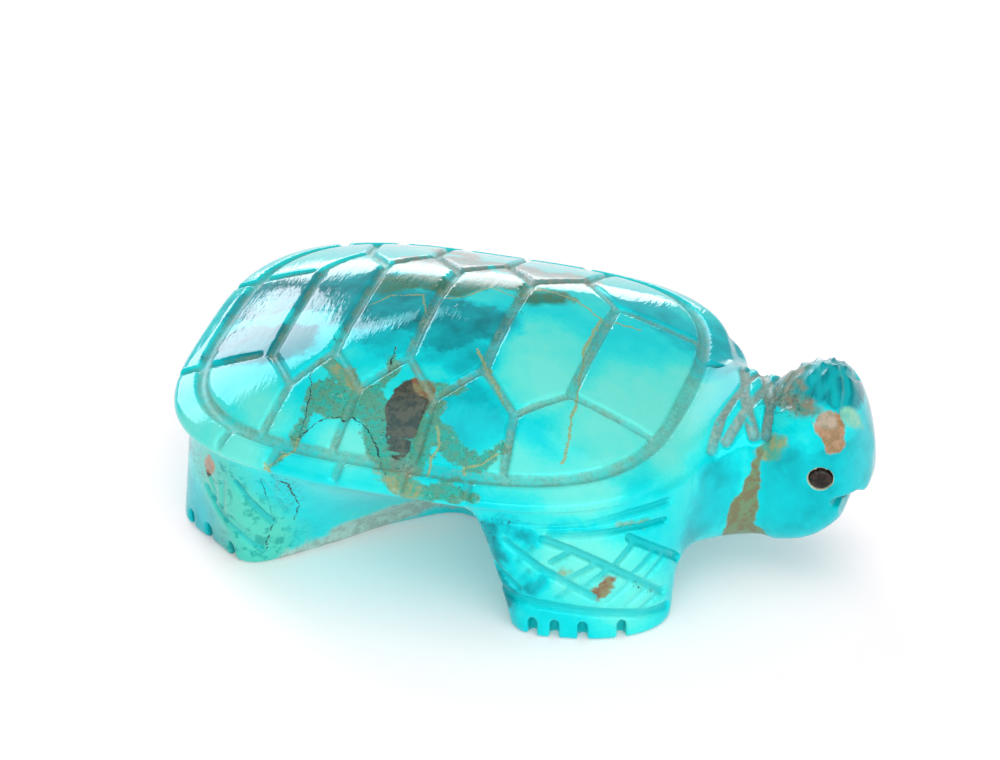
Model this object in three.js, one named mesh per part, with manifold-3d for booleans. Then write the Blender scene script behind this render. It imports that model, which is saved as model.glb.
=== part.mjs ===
// A small turtle carved from one piece of turquoise, standing on its four feet, with a polished
// jet disc let into each cheek as an eye. The shell is a low dome cut with a ring groove, a row of
// six-sided plates and the plates beside them. Legs, neck and crown are cross-hatched with a wheel.
//
// Millimetres, +Z up, +X towards the head. The pieces are modelled about the middle of the shell at
// ground level, and the whole carving is then moved so that the origin is under its own middle.
import * as THREE from "three";
import { mergeVertices } from "three/addons/utils/BufferGeometryUtils.js";
import Module from "manifold-3d";

const wasm = await Module();
wasm.setup();

// Shell
const SHELL_LENGTH = 28;
const SHELL_WIDTH = 24;
const SHELL_PLAN_POWER = 3.25;
const DOME_RISE = 3.9;
const DOME_POWER = 1.8;
const RIM_HEIGHT = 8.2;
const RIM_WALL = 0.55;
const RIM_UNDERCUT = 1.1;

// Shares of the shell's plan at which its rings of points lie: over the dome and under the rim
const DOME_SHARES = [0.3, 0.55, 0.76, 0.9];
const RIM_FOOT_SHARE = 0.99;
const UNDERCUT_SHARES = [0.8, 0.2];
const RIM_WIDEST = 0.4;

// Underside: stations along the right side from the middle of the tail to the middle of the chest.
// Each gives the plan point on the ground, the plan point under the rim and how hollow the side is.
const BASE_STATIONS = [
  { low: [-12.6, 0], high: [-12.9, 0], hollow: 1 },
  { low: [-13.1, 3.2], high: [-12.9, 3], hollow: 1 },
  { low: [-13.3, 5.7], high: [-12.6, 6.2], hollow: 1 },
  { low: [-10.9, 7.7], high: [-11.3, 8.6], hollow: 0.9 },
  { low: [-8.4, 9], high: [-9, 10.3], hollow: 0.9 },
  { low: [-5.1, 6.2], high: [-5, 11], hollow: 1.3 },
  { low: [-2.1, 3.1], high: [-1.6, 11.3], hollow: 1.5 },
  { low: [1.2, 1.5], high: [1.2, 11.4], hollow: 1.5 },
  { low: [4.9, 5.2], high: [3.6, 11.4], hollow: 1.4 },
  { low: [6.3, 10.7], high: [4.9, 11.2], hollow: 1 },
  { low: [9.6, 11], high: [9.4, 10.4], hollow: 1.2 },
  { low: [12.5, 9.8], high: [12.2, 8.6], hollow: 1.8 },
  { low: [13.8, 7.8], high: [13.9, 6.6], hollow: 1 },
  { low: [13, 5.2], high: [14.2, 4.6], hollow: 0.8 },
  { low: [11.3, 2.5], high: [14.2, 2.4], hollow: 0.6 },
  { low: [10.9, 0], high: [14.2, 0], hollow: 0.6 },
];
const BASE_HEIGHT = 7.5;
const BASE_EDGE = 0.3;
const BASE_LEVELS = [0.35, 1.6, 3.1, 4.8, 6.3];
const BASE_STEPS = 2;

// Grooves, as cut by a small wheel
const PLATE_GROOVE = { width: 0.62, depth: 0.36 };
const RING_GROOVE = { width: 0.95, depth: 0.36 };
const HATCH_GROOVE = { width: 0.6, depth: 0.3 };
const TOE_SLOT = { width: 0.7, depth: 0.7, height: 1.35 };
const GROOVE_STEP = 2.2;
const GROOVE_LIFT = 0.7;

// Shell pattern, as shares of the shell's half length and half width
const RING_SHARE = 0.9;
const CROSS_CUTS = [-0.614, -0.365, -0.08, 0.21, 0.54];
const CROSS_CUT_REACH = 0.373;
const PLATE_CORNERS = [-0.49, -0.222, 0.065, 0.375];
const PLATE_CORNER_REACH = 0.575;
const PLATE_CUT_LEAN = 0.12;

// Short cuts across the band outside the ring: where each starts, as shares of the half sizes
const BAND_CUTS = [
  [-0.83, 0.33],
  [-0.74, 0.77],
  [-0.5, 0.86],
  [-0.22, 0.89],
  [0.05, 0.89],
  [0.32, 0.88],
  [0.86, 0.36],
];

// Neck and head
const NECK_START = 8;
const NECK_END = 18.3;
const HEAD_BACK = 17.3;
const HEAD_FRONT = 22.65;
const HEAD_HALF_WIDTH = 3.1;
const CROWN_HEIGHT = 12.2;
const MOUTH = { height: 5.45, opening: 0.5, depth: 1.5 };

// Crossing cuts of the crown and the neck: their run along X, their number and half their spread in
// radians round the section
const CROWN_CUTS = { from: 18.1, to: 21.5, count: 3, reach: 1.15 };
const NECK_CUTS = { from: 15.3, to: 17.4, count: 2, reach: 1 };

// Eyes
const EYE_DIAMETER = 1.16;
const EYE_DEPTH = 0.9;
const EYE_CLEARANCE = 0.05;
const EYE_CROWN = 0.12;
const EYE = { along: 20.5, across: 2.98, height: 6.85, turn: 9 };
const EYE_STEPS = 24;

const ROUND_STEPS = 40;
const stone = new THREE.MeshStandardMaterial({ color: 0x1fc4c1, roughness: 0.16, metalness: 0 });
const jet = new THREE.MeshStandardMaterial({ color: 0x17130f, roughness: 0.1, metalness: 0 });

// Solids

function solid(geometry) {
  const bare = geometry.clone();
  bare.deleteAttribute("normal");
  bare.deleteAttribute("uv");
  const merged = mergeVertices(bare, 1e-3);
  const mesh = new wasm.Mesh({
    numProp: 3,
    vertProperties: new Float32Array(merged.attributes.position.array),
    triVerts: new Uint32Array(merged.index.array),
  });
  return new wasm.Manifold(mesh);
}

function geometryOf(body) {
  const mesh = body.getMesh();
  const geometry = new THREE.BufferGeometry();
  geometry.setAttribute("position", new THREE.BufferAttribute(mesh.vertProperties, 3));
  geometry.setIndex(new THREE.BufferAttribute(mesh.triVerts, 1));
  geometry.computeVertexNormals();
  return geometry;
}

// Triangles that fill a flat ring of points, turning the same way as the ring.
function capFaces(ring) {
  const origin = ring[0];
  const normal = new THREE.Vector3();
  ring.forEach((point, i) => {
    const next = ring[(i + 1) % ring.length];
    normal.add(point.clone().sub(origin).cross(next.clone().sub(origin)));
  });
  normal.normalize();
  const across = ring[1].clone().sub(origin).normalize();
  const up = normal.clone().cross(across).normalize();
  const outline = ring.map((point) => {
    const offset = point.clone().sub(origin);
    return new THREE.Vector2(offset.dot(across), offset.dot(up));
  });
  return THREE.ShapeUtils.triangulateShape(outline, []);
}

// Joins rings of points into one closed body with flat ends.
function loft(rings) {
  const count = rings[0].length;
  const points = rings.flat();
  const faces = [];
  for (let ring = 0; ring + 1 < rings.length; ring += 1) {
    for (let i = 0; i < count; i += 1) {
      const next = (i + 1) % count;
      const a = ring * count + i;
      const b = ring * count + next;
      faces.push(a, b, b + count, a, b + count, a + count);
    }
  }
  [0, rings.length - 1].forEach((ring) => {
    for (const [a, b, c] of capFaces(rings[ring])) {
      const corners = ring === 0 ? [b, a, c] : [a, b, c];
      faces.push(...corners.map((corner) => ring * count + corner));
    }
  });
  const geometry = new THREE.BufferGeometry().setFromPoints(points);
  geometry.setIndex(faces);
  const body = solid(geometry);
  if (body.volume() > 0) return body;
  const flipped = [];
  for (let i = 0; i < faces.length; i += 3) flipped.push(faces[i], faces[i + 2], faces[i + 1]);
  geometry.setIndex(flipped);
  return solid(geometry);
}

const signedPower = (value, power) => Math.sign(value) * Math.abs(value) ** power;

// A closed curve |x/a|^power + |y/b|^power = 1, seen from above.
function planRing(halfLength, halfWidth, power, height, steps = ROUND_STEPS) {
  const ring = [];
  for (let i = 0; i < steps; i += 1) {
    const angle = (2 * Math.PI * i) / steps;
    const x = halfLength * signedPower(Math.cos(angle), 2 / power);
    const y = halfWidth * signedPower(Math.sin(angle), 2 / power);
    ring.push(new THREE.Vector3(x, y, height));
  }
  return ring;
}

// Reads a value between the rows of a table, in a straight line from one row to the next.
function between(rows, at, key) {
  if (at <= rows[0].at) return rows[0][key];
  for (let i = 1; i < rows.length; i += 1) {
    if (at <= rows[i].at) {
      const share = (at - rows[i - 1].at) / (rows[i].at - rows[i - 1].at);
      return THREE.MathUtils.lerp(rows[i - 1][key], rows[i][key], share);
    }
  }
  return rows[rows.length - 1][key];
}

// Shell and base

const halfLength = SHELL_LENGTH / 2;
const halfWidth = SHELL_WIDTH / 2;

function shellShare(x, y) {
  const along = Math.abs(x / halfLength) ** SHELL_PLAN_POWER;
  const across = Math.abs(y / halfWidth) ** SHELL_PLAN_POWER;
  return (along + across) ** (1 / SHELL_PLAN_POWER);
}

function domeHeight(x, y) {
  return RIM_HEIGHT + DOME_RISE * (1 - Math.min(shellShare(x, y), 1) ** DOME_POWER);
}

function shell() {
  const ringAt = (share, height) =>
    planRing(halfLength * share, halfWidth * share, SHELL_PLAN_POWER, height);
  const low = RIM_HEIGHT - RIM_WALL;
  const rings = [
    ...DOME_SHARES.map((share) => ringAt(share, RIM_HEIGHT + DOME_RISE * (1 - share ** DOME_POWER))),
    ringAt(1, RIM_HEIGHT - RIM_WALL * RIM_WIDEST),
    ringAt(RIM_FOOT_SHARE, low),
    ...UNDERCUT_SHARES.map((share) => ringAt(share, low - RIM_UNDERCUT)),
  ];
  return loft(rings.reverse());
}

// The foot and flank surface of the right side, at a station and a height over the ground.
const lowPlan = new THREE.SplineCurve(BASE_STATIONS.map(({ low }) => new THREE.Vector2(...low)));
const highPlan = new THREE.SplineCurve(BASE_STATIONS.map(({ high }) => new THREE.Vector2(...high)));
const lastStation = BASE_STATIONS.length - 1;

function flankPoint(station, height) {
  const t = THREE.MathUtils.clamp(station, 0, lastStation) / lastStation;
  const before = BASE_STATIONS[Math.floor(t * lastStation)];
  const after = BASE_STATIONS[Math.ceil(t * lastStation)];
  const hollow = THREE.MathUtils.lerp(before.hollow, after.hollow, (t * lastStation) % 1);
  const share = THREE.MathUtils.clamp(height / BASE_HEIGHT, 0, 1) ** hollow;
  const plan = lowPlan.getPoint(t).lerp(highPlan.getPoint(t), share);
  return new THREE.Vector3(plan.x, -Math.max(plan.y, 0), height);
}

// The flanks and feet of both sides between the ground and the rim, hollowed between the legs.
function base() {
  const rings = [0, ...BASE_LEVELS, BASE_HEIGHT].map((height) => {
    const right = [];
    for (let i = 1; i < lastStation * BASE_STEPS; i += 1) {
      const station = i / BASE_STEPS;
      const point = flankPoint(station, height);
      if (height === 0) {
        const run = flankPoint(station + 0.1, 0).sub(flankPoint(station - 0.1, 0)).normalize();
        point.add(new THREE.Vector3(-run.y * BASE_EDGE, run.x * BASE_EDGE, 0));
      }
      right.push(point);
    }
    const left = right.map((p) => new THREE.Vector3(p.x, -p.y, p.z)).reverse();
    return [...right, ...left];
  });
  return loft(rings);
}

// Neck and head, as sections along X: lowest and highest point and half width

const NECK_SECTIONS = [
  { at: NECK_START, low: 3.0, high: 7.0, half: 8.6 },
  { at: 11.6, low: 2.8, high: 8.4, half: 8.6 },
  { at: 13.2, low: 2.5, high: 8.8, half: 7.4 },
  { at: 14.4, low: 2.2, high: 9.3, half: 5.7 },
  { at: 15.4, low: 2.0, high: 10.0, half: 4.3 },
  { at: 16.4, low: 1.9, high: 10.2, half: 3.4 },
  { at: 17.4, low: 1.9, high: 10.2, half: 2.95 },
  { at: NECK_END, low: 2.2, high: 10.1, half: 2.5 },
];
const HEAD_SECTIONS = [
  { at: HEAD_BACK, low: 2.5, high: 10.2, half: 2.6 },
  { at: 17.8, low: 2.1, high: 10.9, half: 3.0 },
  { at: 18.5, low: 2.1, high: 11.6, half: HEAD_HALF_WIDTH },
  { at: 19.4, low: 2.3, high: 12.05, half: HEAD_HALF_WIDTH },
  { at: 20.2, low: 2.7, high: CROWN_HEIGHT, half: 3.03 },
  { at: 20.9, low: 3.3, high: 11.8, half: 2.88 },
  { at: 21.5, low: 4.1, high: 10.9, half: 2.6 },
  { at: 22.0, low: 4.9, high: 10.0, half: 2.15 },
  { at: 22.4, low: 5.4, high: 8.8, half: 1.6 },
  { at: HEAD_FRONT, low: 6.0, high: 7.8, half: 1 },
];
const NECK_SHAPE = { across: 2.3, up: 2.3, acrossBelow: 3.2, steps: 22, waist: 0.5 };
const HEAD_SHAPE = { across: 1.5, up: 2.6, acrossBelow: 5, steps: 24, waist: 0.58 };

// A point on a section: angle 0 is the right flank, a quarter turn is the top.
function sectionPoint(sections, shape, at, angle) {
  const low = between(sections, at, "low");
  const high = between(sections, at, "high");
  const half = between(sections, at, "half");
  const waist = low + (high - low) * shape.waist;
  const c = Math.cos(angle);
  const s = Math.sin(angle);
  const above = s >= 0;
  const y = -half * signedPower(c, 2 / (above ? shape.across : shape.acrossBelow));
  const reach = above ? high - waist : waist - low;
  const z = waist + reach * signedPower(s, 2 / (above ? shape.up : shape.acrossBelow));
  return new THREE.Vector3(at, y, z);
}

function barrel(sections, shape) {
  return loft(sections.map(({ at }) => {
    const ring = [];
    for (let i = 0; i < shape.steps; i += 1) {
      ring.push(sectionPoint(sections, shape, at, (2 * Math.PI * i) / shape.steps));
    }
    return ring;
  }));
}

// Grooves

// Sweeps a wedge-shaped cutter along a path over a surface. surface(a, b) gives the point at the
// path's own two coordinates, and its normal comes from points close by.
function groove(surface, path, { width, depth }, { closed = false, taper = false, outward } = {}) {
  const near = 0.01;
  if (!closed) path = lengthened(path, width * 0.3);
  const rings = path.map(([a, b], i) => {
    const point = surface(a, b);
    const du = surface(a + near, b).sub(surface(a - near, b));
    const dv = surface(a, b + near).sub(surface(a, b - near));
    const normal = du.cross(dv).normalize();
    if (normal.dot(outward(point)) < 0) normal.negate();
    const last = path.length - 1;
    const before = closed ? path[(i + last) % path.length] : path[Math.max(i - 1, 0)];
    const after = closed ? path[(i + 1) % path.length] : path[Math.min(i + 1, last)];
    const forward = surface(...after).sub(surface(...before));
    const side = forward.cross(normal).normalize();
    const atEnd = !closed && taper && (i === 0 || i === last);
    const deep = atEnd ? depth * 0.1 : depth;
    const half = (width / 2) * (atEnd ? 0.45 : 1);
    const corner = (across, up) =>
      point.clone().addScaledVector(side, across * half).addScaledVector(normal, up);
    const spread = 1 + (GROOVE_LIFT / depth) * 0.5;
    return [corner(-spread, GROOVE_LIFT), corner(0, -deep), corner(spread, GROOVE_LIFT)];
  });
  if (!closed) return loft(rings);
  const half = Math.floor(rings.length / 2);
  const first = loft(rings.slice(0, half + 1));
  return first.add(loft([...rings.slice(half), rings[0]]));
}

// Moves both ends of a path outwards along itself, so that grooves cross cleanly where they meet.
function lengthened(path, extra) {
  const moved = (end, inner) => {
    const length = Math.hypot(end[0] - inner[0], end[1] - inner[1]);
    return end.map((value, k) => value + ((value - inner[k]) * extra) / length);
  };
  const last = path.length - 1;
  return [moved(path[0], path[1]), ...path.slice(1, last), moved(path[last], path[last - 1])];
}

// Splits straight runs between corners into even steps.
function run(corners, step = GROOVE_STEP) {
  const path = [corners[0]];
  for (let i = 1; i < corners.length; i += 1) {
    const [a0, b0] = corners[i - 1];
    const [a1, b1] = corners[i];
    const count = Math.max(1, Math.round(Math.hypot(a1 - a0, b1 - b0) / step));
    for (let k = 1; k <= count; k += 1) {
      path.push([a0 + ((a1 - a0) * k) / count, b0 + ((b1 - b0) * k) / count]);
    }
  }
  return path;
}

const upward = () => new THREE.Vector3(0, 0, 1);
const domePoint = (x, y) => new THREE.Vector3(x, y, domeHeight(x, y));
const onShell = (x, y) => [x * halfLength, y * halfWidth];

// Where the line from a point of the plan in direction (dx, dy) meets a share of the shell's outline.
function outTo([x, y], [dx, dy], share) {
  let low = 0;
  let high = SHELL_LENGTH;
  for (let i = 0; i < 40; i += 1) {
    const middle = (low + high) / 2;
    if (shellShare(x + dx * middle, y + dy * middle) < share) low = middle;
    else high = middle;
  }
  return [x + dx * low, y + dy * low];
}

function shellGrooves() {
  const cuts = [];
  const cut = (corners, options = {}) =>
    cuts.push(groove(domePoint, run(corners), PLATE_GROOVE, { outward: upward, ...options }));
  const ring = planRing(halfLength * RING_SHARE, halfWidth * RING_SHARE, SHELL_PLAN_POWER, 0, 36);
  cuts.push(groove(domePoint, ring.map((p) => [p.x, p.y]), RING_GROOVE, { closed: true, outward: upward }));
  for (const x of CROSS_CUTS) cut([onShell(x, -CROSS_CUT_REACH), onShell(x, CROSS_CUT_REACH)]);
  for (const side of [-1, 1]) {
    const peaks = CROSS_CUTS.map((x) => onShell(x, side * CROSS_CUT_REACH));
    const valleys = PLATE_CORNERS.map((x) => onShell(x, side * PLATE_CORNER_REACH));
    valleys.forEach((valley, i) => {
      cut([peaks[i], valley]);
      cut([valley, peaks[i + 1]]);
      const lean = (PLATE_CORNERS[i] / PLATE_CORNERS[3]) * PLATE_CUT_LEAN;
      cut([valley, outTo(valley, [lean, side], RING_SHARE)]);
    });
    cut([peaks[0], outTo(peaks[0], [-1, side * 0.02], RING_SHARE)]);
    cut([peaks[4], outTo(peaks[4], [1, side * 0.08], RING_SHARE)]);
    for (const [x, y] of BAND_CUTS) {
      const from = onShell(x, side * y);
      const direction = Math.abs(x) > 0.8 ? [Math.sign(x), 0] : [x * 0.5, side];
      const inner = outTo([from[0] * 0.8, from[1] * 0.8], direction, RING_SHARE);
      const outer = outTo(inner, direction, 1);
      const past = [outer[0] + direction[0] * 0.2, outer[1] + direction[1] * 0.2];
      const rim = (a, b) => {
        const point = domePoint(a, b);
        point.z = Math.max(point.z, RIM_HEIGHT);
        return point;
      };
      cuts.push(groove(rim, [inner, outer, past], PLATE_GROOVE, { outward: upward }));
    }
  }
  return cuts;
}

// Crossing cuts and toe slots of the legs: each path is in stations and heights of the flank.
const LEG_CUTS = [
  [[8.7, 5.4], [10.45, 2.9]],
  [[9.45, 6.3], [11.8, 3.1]],
  [[11, 6.4], [12, 4.3]],
  [[8.6, 3.1], [9.3, 2.2], [10.5, 2.15], [11.4, 2.05]],
  [[9.15, 3.1], [9.8, 5.9]],
  [[9.5, 2.7], [10.75, 5.7]],
  [[10.5, 2.5], [11.7, 5.4]],
  [[2.1, 2.6], [3.2, 2.1], [4.3, 1.8]],
  [[2.3, 5.4], [3.7, 2.6]],
  [[3.1, 5.8], [4.4, 3]],
  [[2.4, 3], [3.4, 5.6]],
  [[3.3, 2.6], [4.5, 5.6]],
];
const TOE_STATIONS = [9.27, 9.7, 10.13, 10.74, 2.35, 2.85, 3.55];

function legCuts() {
  const outward = () => new THREE.Vector3(0, -1, 0);
  const cuts = LEG_CUTS.map((corners) => groove(flankPoint, run(corners), HATCH_GROOVE, { outward }));
  for (const station of TOE_STATIONS) {
    const foot = flankPoint(station, 0.4);
    const along = flankPoint(station + 0.1, 0.4).sub(flankPoint(station - 0.1, 0.4));
    const slot = new THREE.CapsuleGeometry(TOE_SLOT.width / 2, TOE_SLOT.height * 2 - TOE_SLOT.width, 2, 6);
    slot.scale(1, 1, (TOE_SLOT.depth * 2) / TOE_SLOT.width).rotateX(Math.PI / 2);
    slot.rotateZ(Math.atan2(along.y, along.x)).translate(foot.x, foot.y, 0);
    cuts.push(solid(slot));
  }
  return cuts;
}

// Crossing cuts over the crown and the top of the neck, in section angle and distance along X.
function crossCuts(sections, shape, { from, to, count, reach }) {
  const surface = (at, angle) => sectionPoint(sections, shape, at, angle);
  const outward = ({ x, y, z }) => new THREE.Vector3(0, y, z - between(sections, x, "low"));
  const cuts = [];
  for (let i = 0; i < count; i += 1) {
    const start = from + ((to - from) * (i + 0.5)) / count;
    const slant = (to - from) / count;
    for (const way of [-1, 1]) {
      const path = [];
      for (let k = 0; k <= 4; k += 1) {
        const share = k / 2 - 1;
        const at = THREE.MathUtils.clamp(start + way * slant * share, from, to);
        path.push([at, Math.PI / 2 + share * reach]);
      }
      cuts.push(groove(surface, path, HATCH_GROOVE, { outward, taper: true }));
    }
  }
  return cuts;
}

function mouthCut() {
  const { height, opening, depth } = MOUTH;
  const across = HEAD_HALF_WIDTH * 2.4;
  const along = depth * 2;
  const inner = HEAD_FRONT - depth + opening / 2;
  const slit = new THREE.CylinderGeometry(opening / 2, opening / 2, across, 12);
  slit.translate(inner, 0, -height);
  slit.rotateX(-Math.PI / 2);
  const throat = new THREE.BoxGeometry(along, across, opening);
  throat.translate(inner + along / 2, 0, height);
  return solid(slit).add(solid(throat));
}

// Eyes

function eyeDisc(radius, back, front, crown) {
  const points = [[0, back], [radius, back], [radius, front]];
  if (crown > 0) points.push([radius * 0.6, front + crown * 0.75]);
  points.push([0, front + crown]);
  return new THREE.LatheGeometry(points.map((point) => new THREE.Vector2(...point)), EYE_STEPS);
}

// The eye's axis points out of the cheek and slightly forwards.
function eyePlace(side) {
  const turn = THREE.MathUtils.degToRad(side > 0 ? 180 + EYE.turn : -EYE.turn);
  const matrix = new THREE.Matrix4().makeRotationZ(turn);
  return matrix.setPosition(EYE.along, -side * EYE.across, EYE.height);
}

function eyeSocket(side) {
  const radius = EYE_DIAMETER / 2 + EYE_CLEARANCE;
  const socket = eyeDisc(radius, -EYE_DEPTH - EYE_CLEARANCE, EYE_DEPTH, 0);
  return solid(socket.applyMatrix4(eyePlace(side)));
}

// The carving

function carving() {
  const head = barrel(HEAD_SECTIONS, HEAD_SHAPE).subtract(mouthCut());
  let body = shell().add(base()).add(barrel(NECK_SECTIONS, NECK_SHAPE)).add(head);
  const cutters = [
    ...shellGrooves(),
    ...crossCuts(HEAD_SECTIONS, HEAD_SHAPE, CROWN_CUTS),
    ...crossCuts(NECK_SECTIONS, NECK_SHAPE, NECK_CUTS),
    ...legCuts().flatMap((cutter) => [cutter, cutter.mirror([0, 1, 0])]),
    eyeSocket(1),
    eyeSocket(-1),
  ];
  for (const cutter of cutters) body = body.subtract(cutter);
  return body;
}

// Crossing cuts free small chips of stone, which fall away: only the figure itself is kept.
function withoutChips(geometry) {
  const bodies = solid(geometry).decompose();
  bodies.sort((a, b) => b.volume() - a.volume());
  return geometryOf(bodies[0]);
}

const turtle = new THREE.Group();
const toMiddle = (halfLength - HEAD_FRONT) / 2;

const figure = new THREE.Mesh(withoutChips(geometryOf(carving()).translate(toMiddle, 0, 0)), stone);
figure.name = "turtle_figure";
turtle.add(figure);

for (const [name, side] of [["right_eye", 1], ["left_eye", -1]]) {
  const disc = eyeDisc(EYE_DIAMETER / 2, -EYE_DEPTH, 0, EYE_CROWN);
  const eye = new THREE.Mesh(disc.applyMatrix4(eyePlace(side)).translate(toMiddle, 0, 0), jet);
  eye.name = name;
  turtle.add(eye);
}

export default turtle;
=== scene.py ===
"""Looks of a small carved turquoise turtle with inlaid jet eyes, on a pale floor in soft light.

Sizes are in millimetres about the middle of the shell at floor level, as in the solids, and turn
to metres about the figure's own middle only when the mesh is written.
"""
import itertools
import math

import bmesh
import bpy
import numpy as np
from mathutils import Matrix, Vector


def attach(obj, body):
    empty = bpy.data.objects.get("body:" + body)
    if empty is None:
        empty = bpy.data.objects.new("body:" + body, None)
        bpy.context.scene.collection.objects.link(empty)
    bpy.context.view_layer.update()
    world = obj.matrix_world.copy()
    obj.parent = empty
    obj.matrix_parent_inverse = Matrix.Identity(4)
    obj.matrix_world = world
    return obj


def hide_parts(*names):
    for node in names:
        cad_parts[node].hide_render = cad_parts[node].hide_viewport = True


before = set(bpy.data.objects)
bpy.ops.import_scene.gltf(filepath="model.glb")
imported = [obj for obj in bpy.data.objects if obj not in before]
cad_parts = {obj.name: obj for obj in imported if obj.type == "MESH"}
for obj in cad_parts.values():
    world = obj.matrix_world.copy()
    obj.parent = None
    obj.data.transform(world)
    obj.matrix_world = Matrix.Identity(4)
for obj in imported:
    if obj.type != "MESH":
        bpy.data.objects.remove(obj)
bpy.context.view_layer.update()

RIGHT, LEFT = -1, 1
TO_METRES = 0.001
TO_MILLIMETRES = 1000

# Shell
HALF_LENGTH = 14.0
HALF_WIDTH = 12.0
PLAN_POWER = 3.25
DOME_RISE = 3.9
DOME_POWER = 1.8
DOME_END = 1.06
RIM_HEIGHT = 8.2
RIM_WALL = 0.55
RIM_UNDERCUT = 1.1
UNDERCUT_START = 0.8
UNDERCUT_SPAN = 0.19
RIM_ROUNDING = 0.3
RIM_FOOT_ROUNDING = 0.25

# Shell pattern, as shares of the shell's half length and half width
RING_SHARE = 0.9
RING_POINTS = 161
CROSS_CUTS = (-0.614, -0.365, -0.08, 0.21, 0.54)
CROSS_CUT_REACH = 0.373
PLATE_CORNERS = (-0.49, -0.222, 0.065, 0.375)
PLATE_CORNER_REACH = 0.575
BAND_CUTS = ((-0.74, 0.77), (-0.5, 0.86), (-0.22, 0.89), (0.05, 0.89), (0.32, 0.88), (0.86, 0.36))
BAND_CUT_START = 0.8
BAND_CUT_END = 1.01
FRONT_BAND = 0.8

# Lean of the cuts outside the plates, and gaps and drops at their ends
SPOKE_LEAN = 0.12
BAND_CUT_LEAN = 0.5
REAR_CUT_LEAN = 0.02
FRONT_CUT_LEAN = 0.08
REAR_CUT_GAP = 0.8
BAND_CUT_DROP = 0.5

# Width and depth of the cuts in the shell
RING_WHEEL = (0.85, 0.3)
CROSS_WHEEL = (0.56, 0.3)
PLATE_WHEEL = (0.5, 0.26)
SPOKE_WHEEL = (0.52, 0.27)
END_WHEEL = (0.55, 0.28)
BAND_WHEEL = (0.52, 0.26)

# Underside: plan point on the ground, plan point under the rim, hollowness of the side
FLANK = np.array([
    (-12.6, 0, -12.9, 0, 1),
    (-13.1, 3.2, -12.9, 3, 1),
    (-13.3, 5.7, -12.6, 6.2, 1),
    (-10.9, 7.7, -11.3, 8.6, 0.9),
    (-8.4, 9, -9, 10.3, 0.9),
    (-5.1, 6.2, -5, 11, 1.3),
    (-2.1, 3.1, -1.6, 11.3, 1.5),
    (1.2, 1.5, 1.2, 11.4, 1.5),
    (4.9, 5.2, 3.6, 11.4, 1.4),
    (6.3, 10.7, 4.9, 11.2, 1),
    (9.6, 11, 9.4, 10.4, 1.2),
    (12.5, 9.8, 12.2, 8.6, 1.8),
    (13.8, 7.8, 13.9, 6.6, 1),
    (13, 5.2, 14.2, 4.6, 0.8),
    (11.3, 2.5, 14.2, 2.4, 0.6),
    (10.9, 0, 14.2, 0, 0.6),
])
BASE_HEIGHT = 7.5
BASE_OUTLINE_POINTS = 86
FLOOR_EDGE = 0.3

# Neck and head: distance along X, lowest point, highest point, half width
NECK = np.array([
    (8, 3, 7, 8.6),
    (11.6, 2.8, 8.4, 8.6),
    (13.2, 2.5, 8.8, 7.4),
    (14.4, 2.2, 9.3, 5.7),
    (15.4, 2, 10, 4.3),
    (16.4, 1.9, 10.2, 3.4),
    (17.4, 1.9, 10.2, 2.95),
    (18.3, 2.2, 10.1, 2.5),
])
HEAD = np.array([
    (17.3, 2.5, 10.2, 2.6),
    (17.8, 2.1, 10.9, 3),
    (18.5, 2.1, 11.6, 3.1),
    (19.4, 2.3, 12.05, 3.1),
    (20.2, 2.7, 12.2, 3.03),
    (20.9, 3.3, 11.8, 2.88),
    (21.5, 4, 10.9, 2.6),
    (22, 4.5, 9.8, 2),
    (22.4, 4.8, 8.6, 1.35),
    (22.65, 5.2, 7.5, 0.8),
])

# Powers of a section's curve, across and up above the waist and below it, and the waist's share
NECK_POWERS = (2.3, 2.3, 3.2, 0.5)
HEAD_POWERS = (1.5, 2.6, 5.0, 0.58)
NECK_BLUR = 0.5
HEAD_BLUR = 0.25
CUT_BLUR = 0.25
TABLE_STEP = 0.05
BARREL_END_ROUNDING = 0.7
HEAD_FRONT = HEAD[-1, 0]
CROWN_HEIGHT = HEAD[:, 2].max()
CROWN_CUTS = dict(start=18.1, end=21.3, count=4, reach=0.8, wheel=(0.8, 0.17))
NECK_CUTS = dict(start=15.0, end=17.5, count=2, reach=0.95, wheel=(0.66, 0.28))
CROSS_CUT_STEPS = 8
MOUTH = dict(height=4.75, rise=0.55, spread=1.5, opening=0.6, back=21.0, jaw=21.4, edge=0.1)
EYE = dict(along=20.5, across=2.98, height=6.85, turn=math.radians(9), radius=0.63, depth=0.95)

# Roundings where the shapes meet, and at the edges of cuts
FLANK_TO_NECK = 1.2
BODY_TO_SHELL = 0.3
BODY_TO_HEAD = 0.6
GROOVE_EDGE = 0.05

# Lengths of the steps along cuts
SHELL_STEP = 0.5
BAND_STEP = 0.25
LEG_STEP = 0.2

# Unsteadiness of the wheel, evened out over some points
WHEEL_WOBBLE = 0.03
WOBBLE_SEED = 7
EVENED_POINTS = 5
SWEEP_MARGIN = 0.35

TO_MIDDLE = (HALF_LENGTH - HEAD_FRONT) / 2
CELL = 0.125
CELLS_BELOW_FLOOR = 3.5
SLOPE_REACH = 0.15
PAST_SHELL = 30.0
HALVINGS = 40
MOST_TRIANGLES = 190000


# Shape as a field that is negative inside the stone

def smooth_max(a, b, blend):
    share = np.clip(0.5 + 0.5 * (a - b) / blend, 0, 1)
    return b + (a - b) * share + blend * share * (1 - share)


def smooth_min(a, b, blend):
    return -smooth_max(-a, -b, blend)


def shell_share(x, y):
    across = np.abs(y / HALF_WIDTH) ** PLAN_POWER
    return (np.abs(x / HALF_LENGTH) ** PLAN_POWER + across) ** (1 / PLAN_POWER)


def dome_height(x, y):
    return RIM_HEIGHT + DOME_RISE * (1 - np.minimum(shell_share(x, y), 1) ** DOME_POWER)


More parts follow.
